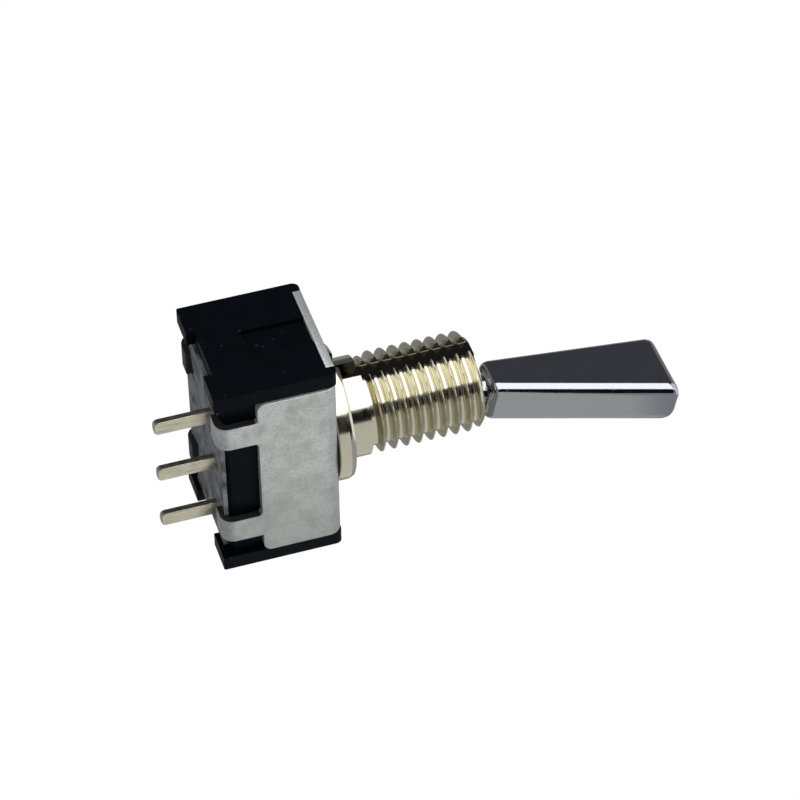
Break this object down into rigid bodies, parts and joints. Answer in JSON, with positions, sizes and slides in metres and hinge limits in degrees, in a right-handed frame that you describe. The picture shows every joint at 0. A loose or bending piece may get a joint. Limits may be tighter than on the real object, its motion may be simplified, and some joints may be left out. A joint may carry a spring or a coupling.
{
  "type": "toggle switch",
  "caption": "Miniature panel-mount toggle switch with a flat flared paddle lever, threaded bushing, framed black housing and an offset row of solder pins.",
  "frame": {"origin": "on the bushing's axis, in the face of its flange that meets the panel", "axes": "+Z along the bushing out of the panel, +X across the narrow side towards the pin row, the lever swings in Y and the keyway faces -Y"},
  "size_m": [0.0082, 0.0134, 0.0317],
  "materials": {
    "housing_black": "moulded phenolic with a low sheen and fine specks",
    "base_black": "moulded, dull",
    "epoxy_grey": "poured resin, uneven and semi-gloss",
    "tinned_steel": "pressed sheet, matte tin plate, faintly mottled",
    "nickel_plate": "turned brass with bright warm nickel plate",
    "chrome_plate": "polished chrome plate",
    "nylon": "natural, unpainted",
    "spring_wire": "drawn spring wire",
    "contact_brass": "rolled sheet",
    "contact_silver": "satin silver",
    "tinned_pin": "bright tin over brass, slightly warm"
  },
  "bodies": {
    "body": {"housing": "housing_black", "base": "base_black", "terminal_seal": "epoxy_grey", "frame": "tinned_steel", "bushing": "nickel_plate", "pivot_retainer": "nylon", "fixed_contact_a": "contact_silver", "fixed_contact_b": "contact_silver", "terminal_common": "tinned_pin", "terminal_a": "tinned_pin", "terminal_b": "tinned_pin"},
    "lever": {"lever": "chrome_plate", "handle": "chrome_plate", "plunger_spring": "spring_wire"},
    "plunger": {"plunger": "nylon"},
    "rocker": {"rocker": "contact_brass", "rocker_contact_a": "contact_silver", "rocker_contact_b": "contact_silver"}
  },
  "joints": [
    {"name": "lever_hinge", "type": "hinge", "parent": "body", "child": "lever", "pos_m": [0, 0, 0.0035], "axis": [1, 0, 0], "range_deg": [0, 24]},
    {"name": "plunger_slide", "type": "slide", "parent": "lever", "child": "plunger", "axis": [0, 0.2079, 0.9781], "range_m": [0, 0.0005], "stiffness_N_per_m": 300, "springref_m": -0.002, "deforming": ["plunger_spring"]},
    {"name": "rocker_hinge", "type": "hinge", "parent": "body", "child": "rocker", "pos_m": [0, 0, -0.00457], "axis": [1, 0, 0], "range_deg": [-16, 0]}
  ],
  "couplings": [
    {"joint": "rocker_hinge", "follows": "lever_hinge", "ratio": -0.66667}
  ]
}
